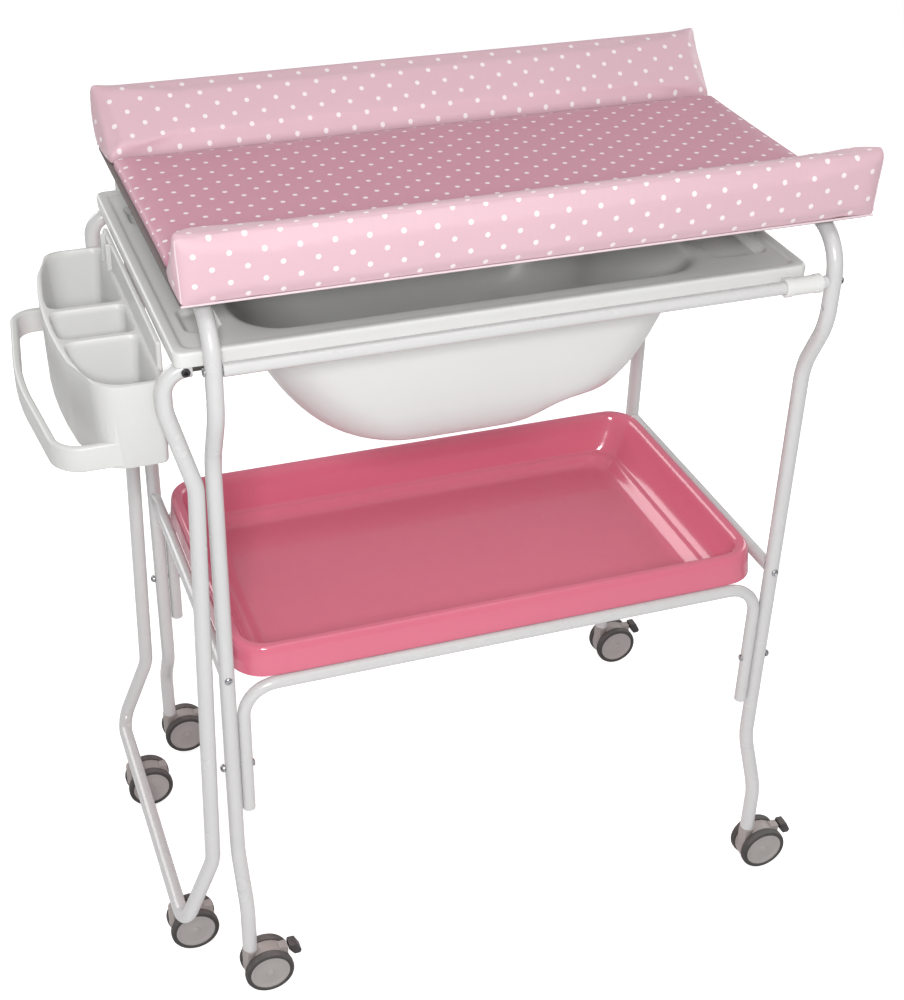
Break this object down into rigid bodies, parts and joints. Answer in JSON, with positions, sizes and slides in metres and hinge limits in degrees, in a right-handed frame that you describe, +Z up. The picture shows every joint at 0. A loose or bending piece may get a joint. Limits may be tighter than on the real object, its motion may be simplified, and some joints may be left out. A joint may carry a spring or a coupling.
{
  "type": "changing table",
  "caption": "Changing table on a tube frame with casters, padded top, slide-out baby bath and storage tray.",
  "frame": {"origin": "on the floor, under the middle of the outer box at rest, with the bath pushed in", "axes": "+X along the table to the right, away from the accessory box; +Y to the back; +Z up. The bath slides out towards -X"},
  "size_m": [0.9692, 0.5418, 1.0571],
  "materials": {
    "white_paint": "gloss white enamel on tube",
    "bath_plastic": "white moulded plastic, satin gloss",
    "tray_plastic": "rose pink moulded plastic, glossy",
    "pad_vinyl": "pale pink coated fabric with printed dots, soft sheen",
    "board_grey": "dark grey board covered in coated fabric, matte",
    "housing_grey": "light grey moulded plastic",
    "wheel_rubber": "black tread on a light grey hub",
    "lever_plastic": "black moulded plastic",
    "rod_black": "black lacquered rod",
    "zinc": "zinc plated",
    "black_steel": "black oxide"
  },
  "bodies": {
    "main_frame": {"left_leg_frame": "white_paint", "right_leg_frame": "white_paint", "front_rail": "white_paint", "rear_rail": "white_paint", "left_side_bar": "white_paint", "right_side_bar": "white_paint", "front_tray_rail": "white_paint", "rear_tray_rail": "white_paint", "rail_screw_front_left": "zinc", "side_bar_screw_front_left": "zinc", "tray_bolt_front_left": "zinc", "rail_screw_front_right": "zinc", "side_bar_screw_front_right": "zinc", "tray_bolt_front_right": "zinc", "rail_screw_rear_left": "zinc", "side_bar_screw_rear_left": "zinc", "tray_bolt_rear_left": "zinc", "rail_screw_rear_right": "zinc", "side_bar_screw_rear_right": "zinc", "tray_bolt_rear_right": "zinc"},
    "bath_carriage": {"front_carriage_tube": "white_paint", "rear_carriage_tube": "white_paint", "front_carriage_bolt": "black_steel", "rear_carriage_bolt": "black_steel", "foot_loop": "white_paint", "front_slide_rod": "rod_black", "rear_slide_rod": "rod_black", "front_glide": "bath_plastic", "rear_glide": "bath_plastic", "bath_tub": "bath_plastic", "accessory_box": "bath_plastic"},
    "changing_top": {"pad_board": "board_grey", "pad_mat": "pad_vinyl", "front_bolster": "pad_vinyl", "rear_bolster": "pad_vinyl"},
    "tray": {"storage_tray": "tray_plastic"},
    "plug": {"drain_plug": "bath_plastic"},
    "caster_1_swivel": {"caster_1_housing": "housing_grey"},
    "caster_1_wheels": {"caster_1_front_wheel": "wheel_rubber", "caster_1_rear_wheel": "wheel_rubber"},
    "caster_1_brake": {"caster_1_lever": "lever_plastic"},
    "caster_2_swivel": {"caster_2_housing": "housing_grey"},
    "caster_2_wheels": {"caster_2_front_wheel": "wheel_rubber", "caster_2_rear_wheel": "wheel_rubber"},
    "caster_2_brake": {"caster_2_lever": "lever_plastic"},
    "caster_3_swivel": {"caster_3_housing": "housing_grey"},
    "caster_3_wheels": {"caster_3_front_wheel": "wheel_rubber", "caster_3_rear_wheel": "wheel_rubber"},
    "caster_3_brake": {"caster_3_lever": "lever_plastic"},
    "caster_4_swivel": {"caster_4_housing": "housing_grey"},
    "caster_4_wheels": {"caster_4_front_wheel": "wheel_rubber", "caster_4_rear_wheel": "wheel_rubber"},
    "caster_4_brake": {"caster_4_lever": "lever_plastic"},
    "caster_5_swivel": {"caster_5_housing": "housing_grey"},
    "caster_5_wheels": {"caster_5_front_wheel": "wheel_rubber", "caster_5_rear_wheel": "wheel_rubber"},
    "caster_6_swivel": {"caster_6_housing": "housing_grey"},
    "caster_6_wheels": {"caster_6_front_wheel": "wheel_rubber", "caster_6_rear_wheel": "wheel_rubber"}
  },
  "joints": [
    {"name": "carriage_slide", "type": "slide", "parent": "main_frame", "child": "bath_carriage", "axis": [-1, 0, 0], "range_m": [0, 0.6]},
    {"name": "top_lift", "type": "slide", "parent": "main_frame", "child": "changing_top", "axis": [0, 0, 1], "range_m": [0, 0.12]},
    {"name": "tray_lift", "type": "slide", "parent": "main_frame", "child": "tray", "axis": [0, 0, 1], "range_m": [0, 0.1]},
    {"name": "plug_pull", "type": "slide", "parent": "bath_carriage", "child": "plug", "axis": [0, 0, 1], "range_m": [0, 0.05]},
    {"name": "caster_1_turn", "type": "hinge", "parent": "main_frame", "child": "caster_1_swivel", "pos_m": [-0.3045, -0.25, 0.05], "axis": [0, 0, 1], "continuous": true},
    {"name": "caster_1_roll", "type": "hinge", "parent": "caster_1_swivel", "child": "caster_1_wheels", "pos_m": [-0.2834, -0.25, 0.0325], "axis": [0, 1, 0], "continuous": true},
    {"name": "caster_1_press", "type": "hinge", "parent": "caster_1_swivel", "child": "caster_1_brake", "pos_m": [-0.2539, -0.25, 0.057], "axis": [0, 1, 0], "range_deg": [0, 12]},
    {"name": "caster_2_turn", "type": "hinge", "parent": "main_frame", "child": "caster_2_swivel", "pos_m": [0.4175, -0.25, 0.05], "axis": [0, 0, 1], "continuous": true},
    {"name": "caster_2_roll", "type": "hinge", "parent": "caster_2_swivel", "child": "caster_2_wheels", "pos_m": [0.4386, -0.25, 0.0325], "axis": [0, 1, 0], "continuous": true},
    {"name": "caster_2_press", "type": "hinge", "parent": "caster_2_swivel", "child": "caster_2_brake", "pos_m": [0.4681, -0.25, 0.057], "axis": [0, 1, 0], "range_deg": [0, 12]},
    {"name": "caster_3_turn", "type": "hinge", "parent": "main_frame", "child": "caster_3_swivel", "pos_m": [0.4175, 0.25, 0.05], "axis": [0, 0, 1], "continuous": true},
    {"name": "caster_3_roll", "type": "hinge", "parent": "caster_3_swivel", "child": "caster_3_wheels", "pos_m": [0.4386, 0.25, 0.0325], "axis": [0, 1, 0], "continuous": true},
    {"name": "caster_3_press", "type": "hinge", "parent": "caster_3_swivel", "child": "caster_3_brake", "pos_m": [0.4681, 0.25, 0.057], "axis": [0, 1, 0], "range_deg": [0, 12]},
    {"name": "caster_4_turn", "type": "hinge", "parent": "main_frame", "child": "caster_4_swivel", "pos_m": [-0.3045, 0.25, 0.05], "axis": [0, 0, 1], "continuous": true},
    {"name": "caster_4_roll", "type": "hinge", "parent": "caster_4_swivel", "child": "caster_4_wheels", "pos_m": [-0.2834, 0.25, 0.0325], "axis": [0, 1, 0], "continuous": true},
    {"name": "caster_4_press", "type": "hinge", "parent": "caster_4_swivel", "child": "caster_4_brake", "pos_m": [-0.2539, 0.25, 0.057], "axis": [0, 1, 0], "range_deg": [0, 12]},
    {"name": "caster_5_turn", "type": "hinge", "parent": "bath_carriage", "child": "caster_5_swivel", "pos_m": [-0.3805, -0.148, 0.05], "axis": [0, 0, 1], "continuous": true},
    {"name": "caster_5_roll", "type": "hinge", "parent": "caster_5_swivel", "child": "caster_5_wheels", "pos_m": [-0.3594, -0.148, 0.0325], "axis": [0, 1, 0], "continuous": true},
    {"name": "caster_6_turn", "type": "hinge", "parent": "bath_carriage", "child": "caster_6_swivel", "pos_m": [-0.3805, 0.148, 0.05], "axis": [0, 0, 1], "continuous": true},
    {"name": "caster_6_roll", "type": "hinge", "parent": "caster_6_swivel", "child": "caster_6_wheels", "pos_m": [-0.3594, 0.148, 0.0325], "axis": [0, 1, 0], "continuous": true}
  ]
}
